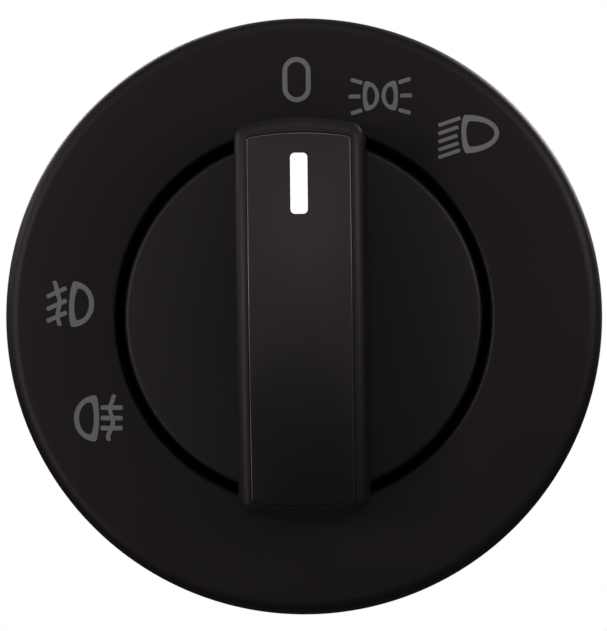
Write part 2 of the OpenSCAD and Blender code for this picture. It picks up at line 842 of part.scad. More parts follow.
// The ring-shaped circuit board under the light guide
module lamp_board() {
  color([0.1, 0.35, 0.16]) stand()
    tube(barrel_in - fit_gap, collar_r + 0.3, board_back + seat_gap, board_front);
}

// A small block on the lamp board
module on_board(angle, size) {
  rotate([0, 0, angle]) translate([led_ring, 0, board_front + seat_gap])
    translate([-size.x / 2, -size.y / 2, 0]) cube([size.x, size.y, size.z - seat_gap]);
}

// One lamp under each sign
module lamp_leds() {
  color([0.95, 0.93, 0.8]) stand()
    for (a = sign_angles) on_board(a, [led_size, led_size, led_h]);
}

// The resistors of the lamps
module board_resistors() {
  color([0.08, 0.08, 0.08]) stand()
    for (a = resistor_angles) on_board(a, resistor);
}

// The pins that feed the lamp board from the contact plate
module board_pins() {
  color("gold") stand() for (a = pin_angles)
    rotate([0, 0, a])
      block([pin_ring - pin_side / 2, -pin_side / 2, contact_front + seat_gap],
        [pin_ring + pin_side / 2, pin_side / 2, board_back]);
}

// The contact plate behind the rotor, seated on the housing's screw bosses
module contact_plate() {
  hub = boss_r + 1;
  notch = 0.8;
  color([0.5, 0.42, 0.3]) stand() difference() {
    union() {
      rod(barrel_in - fit_gap, contact_back, contact_front);
      rod(hub, contact_front - 0.1, rotor_back - 0.1);
    }
    rod(shaft_side / 2 * sqrt(2) + free_gap, contact_back - over, rotor_back);
    at_screws() {
      rod(screw_boss_r + fit_gap, contact_back - over, contact_front + over);
      block([0, -notch, contact_back - over],
        [barrel_in - screw_ring + over, notch, contact_front + over]);
    }
  }
}

// The brass tracks that the rotor's contacts run on
module fixed_contacts() {
  color([0.85, 0.65, 0.25]) stand() for (a = [-32:45:283])
    ring_piece(contact_reach + contact_half_w, contact_reach - contact_half_w,
      contact_front + seat_gap, contact_front + strip_t, a, a + 40);
}

// The strips that lead from the contact plate back to the rear cover
module contact_risers() {
  color([0.85, 0.65, 0.25]) stand()
    for (side = [-1, 1], k = [0:riser_count - 1])
      translate([(k - (riser_count - 1) / 2) * riser_pitch, side * riser_y, 0])
        block([-riser.x / 2, -riser.y / 2, cover_front + seat_gap],
          [riser.x / 2, riser.y / 2, contact_back - seat_gap]);
}

// The fog lamps' slider: it follows the shaft in and out but doesn't turn
module fog_slider() {
  color([0.9, 0.88, 0.82]) stand() difference() {
    block([-slider_w / 2, -slider_h / 2, slider_back], [slider_w / 2, slider_h / 2, slider_front]);
    rod(tail_r + run_gap, slider_back - over, slider_front + over);
    for (x = [-post_x, post_x])
      translate([x, 0, 0]) rod(post_r + run_gap, slider_back - over, slider_front + over);
  }
}

// The slider's two contact bridges
module fog_bridges() {
  color("gold") stand() for (x = [-bridge_x, bridge_x])
    block([x - bridge_w / 2, -bridge_span / 2, slider_front + seat_gap],
      [x + bridge_w / 2, bridge_span / 2, slider_front + bridge_t]);
}

// The strips that the bridges run along
module fog_contacts() {
  near = bridge_span / 2 + 0.1;
  color([0.85, 0.65, 0.25]) stand() for (x = [-bridge_x, bridge_x], side = [0, 180])
    rotate([0, 0, side])
      block([x - bridge_w / 2, near, cover_front + seat_gap],
        [x + bridge_w / 2, near + fog_strip_t, fog_strip_front]);
}

// Moves its children to each terminal blade
module at_blades() {
  for (side = [-1, 1], k = [0:blade_count - 1])
    translate([(k - (blade_count - 1) / 2) * blade_pitch, side * blade_row, 0]) children();
}

// The rear cover: a disc with a rim, the slider's posts and the connector's shroud
module rear_cover() {
  window = [8, 4];
  key = [1.2, 1.6];
  rim_t = 0.9;
  shroud_end = cover_back - shroud_l;
  color([0.14, 0.14, 0.15]) stand() difference() {
    union() {
      rod(barrel_r, cover_back, cover_front);
      tube(barrel_in - fit_gap, barrel_in - fit_gap - rim_t, cover_front - 0.2,
        cover_front + cover_rim_l);
      for (x = [-post_x, post_x])
        translate([x, 0, 0]) rod(post_r, cover_front - 0.2, contact_back - 0.1);
      difference() {
        block([-shroud_w / 2, -shroud_h / 2, shroud_end], [shroud_w / 2, shroud_h / 2, cover_back + 0.2]);
        block([-shroud_w / 2 + shroud_wall, -shroud_h / 2 + shroud_wall, shroud_end - over],
          [shroud_w / 2 - shroud_wall, shroud_h / 2 - shroud_wall, cover_back]);
        block([-window.x / 2, 0, shroud_end + 2.5],
          [window.x / 2, shroud_h / 2 + over, shroud_end + 2.5 + window.y]);
      }
      for (x = [-1, 1])
        translate([x * (shroud_w / 2 - shroud_wall), 0, 0])
          block([-key.x / 2, -key.y / 2, shroud_end + 1], [key.x / 2, key.y / 2, cover_back + 0.1]);
    }
    at_blades()
      block([-blade_w / 2 - fit_gap, -blade_t / 2 - fit_gap, cover_back - over],
        [blade_w / 2 + fit_gap, blade_t / 2 + fit_gap, cover_front + over]);
    at_screws() {
      rod(screw_r + 0.15, cover_back - over, cover_front + over);
      rod(screw_boss_r + rim_boss_gap, cover_front, cover_front + cover_rim_l + over);
    }
  }
}

// The connector's blades
module terminal_blades() {
  color("gold") stand() at_blades()
    block([-blade_w / 2, -blade_t / 2, blade_end], [blade_w / 2, blade_t / 2, blade_top]);
}

// The screws that hold the rear cover
module cover_screws() {
  color("silver") stand() at_screws() {
    rod(screw_head_r, cover_back - seat_gap - screw_head_t, cover_back - seat_gap);
    rod(screw_r, cover_back - 2 * seat_gap, cover_front + screw_l);
  }
}

bezel();
knob();
grip_panel();
pointer();
shaft();
circlip();
push_spring();
rotor();
rotor_contacts();
detent_ball();
detent_spring();
bearing_plate();
release_ring();
latch_right();
latch_left();
latch_spring_right();
latch_spring_left();
housing();
light_guide();
lamp_board();
lamp_leds();
board_resistors();
board_pins();
contact_plate();
fixed_contacts();
contact_risers();
fog_slider();
fog_bridges();
fog_contacts();
rear_cover();
terminal_blades();
cover_screws();
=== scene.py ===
import json
import math

import bmesh
import bpy
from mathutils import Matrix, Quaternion, Vector

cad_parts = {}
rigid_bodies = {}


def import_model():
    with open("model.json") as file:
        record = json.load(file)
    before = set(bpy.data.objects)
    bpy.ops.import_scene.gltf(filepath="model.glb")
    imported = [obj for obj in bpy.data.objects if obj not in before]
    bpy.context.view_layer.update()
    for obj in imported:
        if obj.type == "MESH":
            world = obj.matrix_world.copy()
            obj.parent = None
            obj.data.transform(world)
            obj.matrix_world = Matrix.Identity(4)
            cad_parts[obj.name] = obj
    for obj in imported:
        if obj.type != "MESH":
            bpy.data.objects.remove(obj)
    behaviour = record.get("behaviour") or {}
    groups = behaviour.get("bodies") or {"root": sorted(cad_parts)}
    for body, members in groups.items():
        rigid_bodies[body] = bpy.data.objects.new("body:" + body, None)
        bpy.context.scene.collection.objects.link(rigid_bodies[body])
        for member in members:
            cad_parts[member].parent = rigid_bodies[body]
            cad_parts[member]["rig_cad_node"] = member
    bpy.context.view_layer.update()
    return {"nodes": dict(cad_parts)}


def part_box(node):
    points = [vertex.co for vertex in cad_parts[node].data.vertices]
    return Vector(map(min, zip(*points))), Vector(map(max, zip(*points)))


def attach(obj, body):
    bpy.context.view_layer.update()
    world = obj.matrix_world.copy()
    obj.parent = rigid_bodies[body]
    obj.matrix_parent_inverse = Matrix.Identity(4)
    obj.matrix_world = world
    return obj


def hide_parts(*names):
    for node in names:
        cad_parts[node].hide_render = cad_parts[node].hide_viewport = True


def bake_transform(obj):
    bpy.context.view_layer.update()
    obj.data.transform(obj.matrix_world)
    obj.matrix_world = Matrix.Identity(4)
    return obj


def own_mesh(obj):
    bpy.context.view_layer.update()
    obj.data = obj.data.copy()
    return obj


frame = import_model()
nodes = frame["nodes"]
mm = 0.001

# The view: the switch is seen almost straight on, from a little above and to the right, and
# the picture leans a little to the left. The lens follows from the distance and from how
# large the bezel stands in the picture.
face = -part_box("bezel")[0].y
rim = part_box("bezel")[1].x
rim_roll = 1.8 * mm
frame_height = 631
sensor = 36.0
bezel_px = 298.0
off_centre_px = (-0.2, 1.6)
view_distance = 257 * mm
view_side = math.radians(1.3)
view_lift = math.radians(1.0)
view_roll = math.radians(-0.75)
px_per_m = bezel_px / rim


def towards(side, lift):
    """The direction from the switch to a place, given by its angles to the right and up."""
    level = math.cos(lift)
    return Vector((math.sin(side) * level, -math.cos(side) * level, math.sin(lift)))


aim = Vector((-off_centre_px[0] / px_per_m, -(face - rim_roll), off_centre_px[1] / px_per_m))
eye = towards(view_side, view_lift)
lens = bpy.data.cameras.new("camera")
lens.sensor_width = sensor
lens.lens = sensor * px_per_m * view_distance / frame_height
lens.clip_start = 1 * mm
camera = bpy.data.objects.new("camera", lens)
bpy.context.scene.collection.objects.link(camera)
camera.location = aim + eye * view_distance
camera.rotation_mode = "QUATERNION"
camera.rotation_quaternion = (-eye).to_track_quat("-Z", "Y") @ Quaternion((0, 0, 1), view_roll)
bpy.context.scene.camera = camera
bpy.context.scene.view_settings.view_transform = "Standard"

# The light: soft and plain, a little warm from above and a little cool from the lower left,
# with two lamps behind and a pale room that the camera sees as white.
warm = (1.0, 0.96, 0.93)
plain = (1.0, 0.96, 0.97)
cool = (0.98, 0.93, 1.0)
lamp_distance = 660 * mm
near_distance = 200 * mm
room_level = 0.12
room_in_gloss = 0.1


def soft_lamp(name, side, lift, spread, power, tint, distance=lamp_distance):
    """A round lamp that faces the switch and is spread degrees wide as seen from it."""
    glow = bpy.data.lights.new(name, "AREA")
    glow.shape = "DISK"
    glow.size = 2 * distance * math.tan(math.radians(spread / 2))
    glow.energy = power
    glow.color = tint
    lamp = bpy.data.objects.new(name, glow)
    bpy.context.scene.collection.objects.link(lamp)
    way = towards(math.radians(side), math.radians(lift))
    lamp.location = way * distance
    lamp.rotation_mode = "QUATERNION"
    lamp.rotation_quaternion = (-way).to_track_quat("-Z", "Y")


def seen_directly(tree, glossy_share):
    """1 where the camera or clear plastic looks at it, and glossy_share in a reflection."""
    path = tree.nodes.new("ShaderNodeLightPath")
    share = tree.nodes.new("ShaderNodeMath")
    share.operation = "MULTIPLY"
    share.inputs[1].default_value = glossy_share
    tree.links.new(path.outputs["Is Glossy Ray"], share.inputs[0])
    both = tree.nodes.new("ShaderNodeMath")
    both.operation = "MAXIMUM"
    tree.links.new(path.outputs["Is Camera Ray"], both.inputs[0])
    tree.links.new(path.outputs["Is Transmission Ray"], both.inputs[1])
    seen = tree.nodes.new("ShaderNodeMath")
    seen.operation = "MAXIMUM"
    tree.links.new(both.outputs[0], seen.inputs[0])
    tree.links.new(share.outputs[0], seen.inputs[1])
    return seen.outputs[0]


soft_lamp("lamp_front", side=0, lift=14, spread=16, power=0.025, tint=warm)
soft_lamp("lamp_front_low", side=22, lift=-10, spread=16, power=0.03, tint=plain)
soft_lamp("lamp_top", side=0, lift=62, spread=16, power=0.27, tint=warm)
soft_lamp("lamp_top_right", side=30, lift=30, spread=16, power=0.16, tint=warm)
soft_lamp("lamp_top_left", side=-28, lift=34, spread=16, power=0.12, tint=warm)
soft_lamp("lamp_left", side=-42, lift=6, spread=16, power=0.8, tint=plain)
soft_lamp("lamp_left_low", side=-42, lift=-20, spread=16, power=0.4, tint=cool)
soft_lamp("lamp_far_left", side=-90, lift=20, spread=16, power=0.6, tint=plain)
soft_lamp("lamp_right_low", side=42, lift=-20, spread=16, power=0.05, tint=plain)
soft_lamp("lamp_near_right", side=50, lift=15, spread=25, power=0.075, tint=warm,
          distance=near_distance)
soft_lamp("lamp_back_right", side=140, lift=28, spread=26, power=2.4, tint=plain)
soft_lamp("lamp_back_left", side=-150, lift=28, spread=26, power=2.4, tint=plain)
room = bpy.data.worlds.new("pale_room")
bpy.context.scene.world = room
room.use_nodes = True
room_glow = room.node_tree.nodes["Background"]
room_glow.inputs["Color"].default_value = (1, 1, 1, 1)
room_strength = room.node_tree.nodes.new("ShaderNodeMapRange")
room_strength.inputs["To Min"].default_value = room_level
room_strength.inputs["To Max"].default_value = 1.0
room_seen = seen_directly(room.node_tree, room_in_gloss)
room.node_tree.links.new(room_seen, room_strength.inputs["Value"])
room.node_tree.links.new(room_strength.outputs[0], room_glow.inputs["Strength"])

# The floor: a plain sheet of card, well below the switch, with faint fibres in it. The camera
# sees it as white; in reflections, and for the light it throws back, it is a dark grey.
floor_drop = 450 * mm
floor_size = 6
card_dark = (0.09, 0.09, 0.089, 1)
card_pale = (0.1, 0.1, 0.1, 1)
card_glow_level = 0.98
card_in_gloss = 0.02
fibre_scale = 60
bpy.ops.object.select_all(action="DESELECT")
bpy.ops.mesh.primitive_plane_add(size=floor_size, location=(0, 0, -floor_drop))
floor = bpy.context.object
floor.name = "floor"
bpy.ops.object.transform_apply(location=True, rotation=True, scale=True)
card = bpy.data.materials.new("pale_card")
card.use_nodes = True
card_nodes = card.node_tree.nodes
card_links = card.node_tree.links
card_skin = card_nodes["Principled BSDF"]
card_skin.inputs["Roughness"].default_value = 0.9
card_skin.inputs["Specular IOR Level"].default_value = 0.1
card_skin.inputs["Emission Color"].default_value = (1, 1, 1, 1)
fibre_place = card_nodes.new("ShaderNodeTexCoord")
fibres = card_nodes.new("ShaderNodeTexNoise")
fibres.inputs["Scale"].default_value = fibre_scale
fibres.inputs["Detail"].default_value = 5
card_links.new(fibre_place.outputs["Object"], fibres.inputs["Vector"])
card_tint = card_nodes.new("ShaderNodeMix")
card_tint.data_type = "RGBA"
card_tint.inputs[6].default_value = card_dark
card_tint.inputs[7].default_value = card_pale
card_links.new(fibres.outputs["Fac"], card_tint.inputs[0])
card_links.new(card_tint.outputs[2], card_skin.inputs["Base Color"])
card_glow = card_nodes.new("ShaderNodeMath")
card_glow.operation = "MULTIPLY"
card_glow.inputs[1].default_value = card_glow_level
card_links.new(seen_directly(card.node_tree, card_in_gloss), card_glow.inputs[0])
card_links.new(card_glow.outputs[0], card_skin.inputs["Emission Strength"])
floor.data.materials.append(card)

# The bezel: one injection moulding in black satin plastic. Its face rolls over into a soft
# outer rim, a collar runs down into the knob's well, and a bead inside the rim snaps over
# the housing's flange.
rim_wall = 1.6 * mm
face_wall = 1.8 * mm
foot_roll = 0.3 * mm
bead = 0.35 * mm
bead_low = 0.4 * mm
bead_high = 0.8 * mm
bead_slope = 0.1 * mm
well = 21.6 * mm
well_roll = 0.5 * mm
collar = 22.8 * mm
collar_end = -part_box("bezel")[1].y
satin_black = (0.0014, 0.0010, 0.0012)
weld = 0.002 * mm


def arc(cx, cz, r, start, end, steps):
    """Points along an arc, from one angle to another in degrees."""
    turn = [math.radians(start + (end - start) * k / steps) for k in range(steps + 1)]
    return [(cx + r * math.cos(a), cz + r * math.sin(a)) for a in turn]


def turned(name, profile, closed=True, steps=256, start=0.0, sweep=360.0):
    """Draws a profile of (distance from the axis, height) point by point and spins it, from
    an angle in degrees and anticlockwise; a part turn gets its two ends closed."""
    side = Vector((math.cos(math.radians(start)), 0, math.sin(math.radians(start))))
    bpy.ops.object.select_all(action="DESELECT")
    bpy.ops.mesh.primitive_plane_add(size=mm, location=(0, 0, 0))
    piece = bpy.context.object
    piece.name = name
    bpy.ops.object.mode_set(mode="EDIT")
    bpy.ops.mesh.select_mode(type="VERT")
    bpy.ops.mesh.select_all(action="SELECT")
    bpy.ops.mesh.merge(type="CENTER")
    points = [side * r + Vector((0, -z, 0)) for r, z in profile]
    bpy.ops.transform.translate(value=points[0])
    for here, there in zip(points, points[1:] + points[:1] if closed else points[1:]):
        bpy.ops.mesh.extrude_vertices_move(TRANSFORM_OT_translate={"value": there - here})
    bpy.ops.mesh.select_all(action="SELECT")
    bpy.ops.mesh.remove_doubles(threshold=weld)
    bpy.ops.mesh.spin(steps=steps, angle=math.radians(sweep), center=(0, 0, 0), axis=(0, 1, 0))
    bpy.ops.mesh.select_all(action="SELECT")
    bpy.ops.mesh.remove_doubles(threshold=weld)
    if sweep < 360:
        bpy.ops.mesh.fill_holes(sides=0)
        bpy.ops.mesh.select_all(action="SELECT")
    bpy.ops.mesh.normals_make_consistent(inside=False)
    bpy.ops.object.mode_set(mode="OBJECT")
    return piece


def pick(piece):
    """Selects one piece alone and makes it active."""
    bpy.ops.object.select_all(action="DESELECT")
    piece.select_set(True)
    bpy.context.view_layer.objects.active = piece


def smooth(piece, degrees=35):
    """Shades a piece smooth, but for edges that turn by more than this angle."""
    pick(piece)
    bpy.ops.object.shade_smooth_by_angle(angle=math.radians(degrees))


grain_cell = 0.22 * mm
grain_depth = 0.04 * mm
cloud_scale = 110
gloss_drift = 0.04


def moulded(name, colour, rough, shine, grain=0.08, cell=grain_cell, drift=0.1, glint=(1, 1, 1)):
    """Moulded plastic: fine spark-eroded grain, and a faint drift of colour and gloss."""
    look = bpy.data.materials.new(name)
    look.use_nodes = True
    n = look.node_tree.nodes
    links = look.node_tree.links
    skin = n["Principled BSDF"]
    skin.inputs["Specular IOR Level"].default_value = shine
    skin.inputs["Specular Tint"].default_value = glint + (1,)
    place = n.new("ShaderNodeTexCoord")
    grains = n.new("ShaderNodeTexNoise")
    grains.inputs["Scale"].default_value = 1 / cell
    grains.inputs["Detail"].default_value = 3
    links.new(place.outputs["Object"], grains.inputs["Vector"])
    cloud = n.new("ShaderNodeTexNoise")
    cloud.inputs["Scale"].default_value = cloud_scale
    cloud.inputs["Detail"].default_value = 5
    links.new(place.outputs["Object"], cloud.inputs["Vector"])
    tint = n.new("ShaderNodeMix")
    tint.data_type = "RGBA"
    tint.inputs[6].default_value = tuple(c * (1 - drift) for c in colour) + (1,)
    tint.inputs[7].default_value = tuple(c * (1 + drift) for c in colour) + (1,)
    links.new(cloud.outputs["Fac"], tint.inputs[0])
    links.new(tint.outputs[2], skin.inputs["Base Color"])
    gloss = n.new("ShaderNodeMapRange")
    gloss.inputs["To Min"].default_value = rough - gloss_drift
    gloss.inputs["To Max"].default_value = rough + gloss_drift
    links.new(cloud.outputs["Fac"], gloss.inputs["Value"])
    links.new(gloss.outputs[0], skin.inputs["Roughness"])
    bump = n.new("ShaderNodeBump")
    bump.inputs["Strength"].default_value = grain
    bump.inputs["Distance"].default_value = grain_depth
    links.new(grains.outputs["Fac"], bump.inputs["Height"])
    links.new(bump.outputs[0], skin.inputs["Normal"])
    return look


def fit(piece, look, body, slot, *stands_for):
    """Gives a finished piece its material, its body (if it has just one) and its nodes."""
    piece.data.materials.clear()
    piece.data.materials.append(look)
    if body:
        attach(piece, body)
    if stands_for:
        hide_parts(*stands_for)


rim_inside = rim - rim_wall
bead_tip = rim - rim_wall - bead
face_inside = face - face_wall
bezel = turned("bezel_ring",
    [(well, collar_end), (well, face - well_roll)]
    + arc(well + well_roll, face - well_roll, well_roll, 180, 90, 6)[1:]
    + arc(rim - rim_roll, face - rim_roll, rim_roll, 90, 0, 16)
    + arc(rim - foot_roll, foot_roll, foot_roll, 0, -90, 4)
    + [(rim_inside, 0), (rim_inside, bead_low), (bead_tip, bead_low + bead_slope)]
    + [(bead_tip, bead_high - bead_slope), (rim_inside, bead_high)]
    + [(rim_inside, face_inside), (collar, face_inside), (collar, collar_end)])
smooth(bezel)
bezel_look = moulded("bezel_satin_black", satin_black, rough=0.5, shine=0.37, glint=(1, 0.85, 0.89))
fit(bezel, bezel_look, "housing", "bezel_plastic", "bezel")

# The signs: thin grey prints on the bezel's face, drawn with plain strokes: zero, side lights,
# low beam, front fog and rear fog. They are generic lamp signs. Where a wavy stroke crosses
# others it lies a little higher.
print_low = face - 0.03 * mm
print_high = face + 0.015 * mm
print_grey = (0.2, 0.2, 0.205)
crossing = 0.006 * mm
stroke_round = 0.3
lamp_ends = 2.7


def raise_print(lift=0.0):
    """Gives the flat sign that is being drawn its thickness."""
    bpy.ops.mesh.select_all(action="SELECT")
    bpy.ops.mesh.extrude_region_move(
        TRANSFORM_OT_translate={"value": (0, -(print_high + lift - print_low), 0)})
    bpy.ops.mesh.select_all(action="SELECT")
    bpy.ops.mesh.normals_make_consistent(inside=False)
    bpy.ops.object.mode_set(mode="OBJECT")
    return bpy.context.object


def stroke(points, width, lift=0.0):
    """A stroke along a line of (x, z) points in mm: the line is drawn, then pulled sideways."""
    line = [Vector((x * mm, -print_low, z * mm)) for x, z in points]
    along = line[-1] - line[0]
    across = Vector((-along.z, 0, along.x)).normalized() * width * mm
    bpy.ops.object.select_all(action="DESELECT")
    bpy.ops.mesh.primitive_plane_add(size=mm, location=(0, 0, 0))
    bpy.ops.object.mode_set(mode="EDIT")
    bpy.ops.mesh.select_mode(type="VERT")
    bpy.ops.mesh.select_all(action="SELECT")
    bpy.ops.mesh.merge(type="CENTER")
    bpy.ops.transform.translate(value=line[0] - across / 2)
    for here, there in zip(line, line[1:]):
        bpy.ops.mesh.extrude_vertices_move(TRANSFORM_OT_translate={"value": there - here})
    bpy.ops.mesh.select_all(action="SELECT")
    bpy.ops.mesh.select_mode(type="EDGE")
    bpy.ops.mesh.select_all(action="SELECT")
    bpy.ops.mesh.extrude_edges_move(TRANSFORM_OT_translate={"value": across})
    bpy.ops.mesh.select_mode(type="VERT")
    edit = bmesh.from_edit_mesh(bpy.context.object.data)
    for v in edit.verts:
        v.select = len(v.link_faces) == 1
    edit.select_flush_mode()
    bmesh.update_edit_mesh(bpy.context.object.data)
    bpy.ops.mesh.bevel(offset=stroke_round * width * mm, segments=3, affect="VERTICES")
    return raise_print(lift)


def loop(outer, inner):
    """A closed stroke between two outlines of (x, z) points in mm: two circles are shaped to
    them and bridged."""
    bpy.ops.object.select_all(action="DESELECT")
    bpy.ops.mesh.primitive_circle_add(vertices=len(outer), radius=2 * mm)
    bpy.ops.object.mode_set(mode="EDIT")
    bpy.ops.mesh.select_mode(type="EDGE")
    bpy.ops.mesh.primitive_circle_add(vertices=len(inner), radius=mm)
    edit = bmesh.from_edit_mesh(bpy.context.object.data)
    for v, (x, z) in zip(edit.verts, outer + inner):
        v.co = (x * mm, -print_low, z * mm)
    bmesh.update_edit_mesh(bpy.context.object.data)
    bpy.ops.mesh.select_all(action="SELECT")
    bpy.ops.mesh.bridge_edge_loops()
    return raise_print()


def stadium(cx, cz, w, h):
    """The outline of an upright bar with round ends."""
    r = w / 2
    return arc(cx, cz + h / 2 - r, r, 0, 180, 14) + arc(cx, cz - h / 2 + r, r, 180, 360, 14)


def lamp_form(cx, cz, w, h, bow, way, lean=0.0):
    """The outline of a lamp: a round side that bulges to the right (way 1) or the left (-1),
    and a side that is bowed outwards only a little."""
    round_side = [((w - bow) * math.cos(math.radians(a)), h / 2 * math.sin(math.radians(a)))
                  for a in range(-90, 91, 10)]
    flat_side = [(-bow * math.cos(math.radians(a)), h / 2 * math.sin(math.radians(a)))
                 for a in range(75, -76, -15)]
    form = [(x - (w / 2 - bow), z) for x, z in round_side + flat_side]
    c, s = math.cos(math.radians(lean)), math.sin(math.radians(lean))
    return [(cx + way * x * c + z * s, cz - way * x * s + z * c) for x, z in form]


def lamp(cx, cz, w, h, bow, way, width, lean=0.0):
    """A lamp's outline as one closed stroke; its two corners are a little fuller."""
    return loop(lamp_form(cx, cz, w, h, bow, way, lean),
                lamp_form(cx, cz, w - 2 * width, h - lamp_ends * width, bow, way, lean))


def sign(name, parts):
    """Joins a sign's strokes into one piece."""
    pick(parts[0])
    for part in parts:
        part.select_set(True)
    bpy.ops.object.join()
    parts[0].name = name
    fit(parts[0], sign_look, "housing", "bezel_plastic")


sign_look = moulded("sign_print_grey", print_grey, rough=0.6, shine=0.2, grain=0.03, drift=0.06)
sign("sign_zero", [loop(stadium(-0.38, 27.3, 3.24, 5.18), stadium(-0.38, 27.3, 2.12, 4.06))])
sign("sign_side_lights", [
    lamp(8.13, 25.3, 1.88, 3.4, 0.36, 1, 0.47),
    lamp(10.28, 25.3, 1.88, 3.4, 0.36, -1, 0.47),
    stroke([(5.84, 27.2), (7.16, 26.8)], 0.45),
    stroke([(5.58, 25.26), (6.92, 25.26)], 0.45),
    stroke([(5.8, 23.32), (7.12, 23.69)], 0.45),
    stroke([(11.3, 26.8), (12.68, 27.2)], 0.45),
    stroke([(11.48, 25.28), (12.84, 25.3)], 0.45),
    stroke([(11.27, 23.67), (12.64, 23.28)], 0.45),
])
sign("sign_low_beam", [
    lamp(20.6, 20.81, 4.32, 4.4, 0.5, 1, 0.54, lean=-1.5),
    stroke([(18.36, 22.64), (15.8, 21.81)], 0.42),
    stroke([(18.11, 21.6), (15.79, 20.85)], 0.42),
    stroke([(17.99, 20.64), (15.78, 19.92)], 0.42),
    stroke([(18.09, 19.76), (15.77, 18.99)], 0.42),
    stroke([(18.25, 18.95), (15.76, 18.13)], 0.42),
])
sign("sign_front_fog", [
    lamp(-25.48, 1.81, 2.9, 5.26, 0.44, 1, 0.6, lean=3.7),
    stroke([(-27.2, 3.75), (-29.5, 2.74)], 0.5),
    stroke([(-27.21, 2.31), (-29.52, 1.31)], 0.5),
    stroke([(-27.22, 0.93), (-29.54, -0.07)], 0.5),
    stroke([(-28.62, 4.57), (-28.4, 3.95), (-28.27, 3.2), (-28.05, 2.5), (-28.02, 1.8),
            (-28.22, 1.1), (-28.3, 0.4), (-28.05, -0.6)], 0.5, lift=crossing),
])
sign("sign_rear_fog", [
    lamp(-25.12, -11.32, 2.92, 5.32, 0.44, -1, 0.6, lean=1.2),
    stroke([(-23.46, -10.1), (-20.93, -10.13)], 0.53),
    stroke([(-23.47, -11.3), (-20.95, -11.34)], 0.53),
    stroke([(-23.49, -12.47), (-20.96, -12.5)], 0.53),
    stroke([(-21.89, -8.62), (-22.08, -9.3), (-22.4, -10.0), (-22.36, -10.6), (-22.1, -11.3),
            (-22.08, -12.0), (-22.4, -12.8), (-22.66, -13.4), (-22.6, -13.95)], 0.5, lift=crossing),
])

# The knob: a skirted disc and a hollow grip bar, moulded in one in black satin plastic. The bar
# has leaning sides, round shoulders and a crowned back, and its ends reach over the bezel with
# room for the push. Inside the skirt are a hub, four ribs and two dogs for the release ring.
disc_face = 4.2 * mm
disc = 20.7 * mm
disc_roll = 0.65 * mm
disc_wall = 1.6 * mm
disc_inside = disc_face - disc_wall
skirt_wall = 1.4 * mm
skirt_end = -4.6 * mm
hub = 5.4 * mm
hub_bore = 3 * mm
hub_end = -3.4 * mm
overlap = 0.5 * mm
dog_in = 19.4 * mm
dog_out = 20.6 * mm
dog_end = -7.3 * mm
dog_root = skirt_end + overlap
dog_half = 5
rib_in = hub - overlap
rib_out = disc - skirt_wall / 2
rib_high = disc_face - mm
rib_half = 2
bar_half = 7.7 * mm
bar_end = 23.1 * mm
bar_root = disc_face - 0.8 * mm
bar_draft = 0.5 * mm
bar_roll = 1.4 * mm
bar_corner = 2.2 * mm
end_inset = 2.4 * mm
panel_inset = bar_draft + bar_roll
panel_seat = 1.3 * mm
panel_end_r = 33 * mm
proud = 0.12 * mm
bar_top = -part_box("grip_panel")[0].y - proud
crown = 106 * mm
lip = 7.4 * mm
lip_from = 20.3 * mm
lip_past = 30 * mm


def quarter_turn(steps):
    """The angles of a quarter turn in equal steps."""
    return [math.radians(90 * k / steps) for k in range(steps + 1)]


def crown_height(z):
    """How high the bar's back stands, z along the bar from its middle."""
    return bar_top - crown + math.sqrt(crown * crown - z * z)


def bar_outline(inset, end_steps=10, bend_steps=6, side_steps=40):
    """The bar's outline drawn in by inset, as (x, z) points: up its right side, then down
    its left side, so that the two sides face each other point by point. The end arcs grow
    flatter on the way up to the strip, and they draw in further than the sides."""
    share = inset / panel_inset
    end_r = bar_end + (panel_end_r - bar_end) * share
    end_z = bar_end - end_inset * share - end_r
    cx = bar_half - bar_corner
    rise = math.sqrt((end_r - bar_corner + inset) ** 2 - cx ** 2)
    cz = end_z + rise
    turn = math.degrees(math.atan2(rise, cx))
    half_step = (90 - turn) / (2 * end_steps)
    bend = arc(cx, cz, bar_corner - inset, 0, turn, bend_steps)[:-1]
    end = arc(0, end_z, end_r, turn, 90 - half_step, end_steps)
    straight = [(bar_half - inset, cz * (2 * k / side_steps - 1)) for k in range(1, side_steps)]
    right = [(x, -z) for x, z in reversed(bend + end)] + straight + bend + end
    return right + [(-x, z) for x, z in reversed(right)]


def crowned_ring(inset, drop):
    """A ring of the bar at one depth below its crowned back."""
    return [Vector((x, -(crown_height(z) - drop), z)) for x, z in bar_outline(inset)]


def level_ring(inset, height):
    """A ring of the bar at one height."""
    return [Vector((x, -height, z)) for x, z in bar_outline(inset)]


def spot(point):
    """A corner's place rounded to a micrometre, to know it again."""
    return tuple(round(c / mm, 3) for c in point)


def raise_ring(piece, source, target):
    """Moves each selected corner from its point in source to the same point in target."""
    there = {spot(p): q for p, q in zip(source, target)}
    edit = bmesh.from_edit_mesh(piece.data)
    for v in edit.verts:
        if v.select:
            v.co = there[spot(v.co)]
    bmesh.update_edit_mesh(piece.data)


def close_across(piece, ring):
    """Closes an open ring with strips that run straight across the bar."""
    on_ring = {spot(p) for p in ring}
    bpy.ops.mesh.select_all(action="DESELECT")
    edit = bmesh.from_edit_mesh(piece.data)
    for e in edit.edges:
        a, b = (v.co for v in e.verts)
        e.select = a.x * b.x > 0 and spot(a) in on_ring and spot(b) in on_ring and e.is_boundary
    bmesh.update_edit_mesh(piece.data)
    bpy.ops.mesh.bridge_edge_loops()


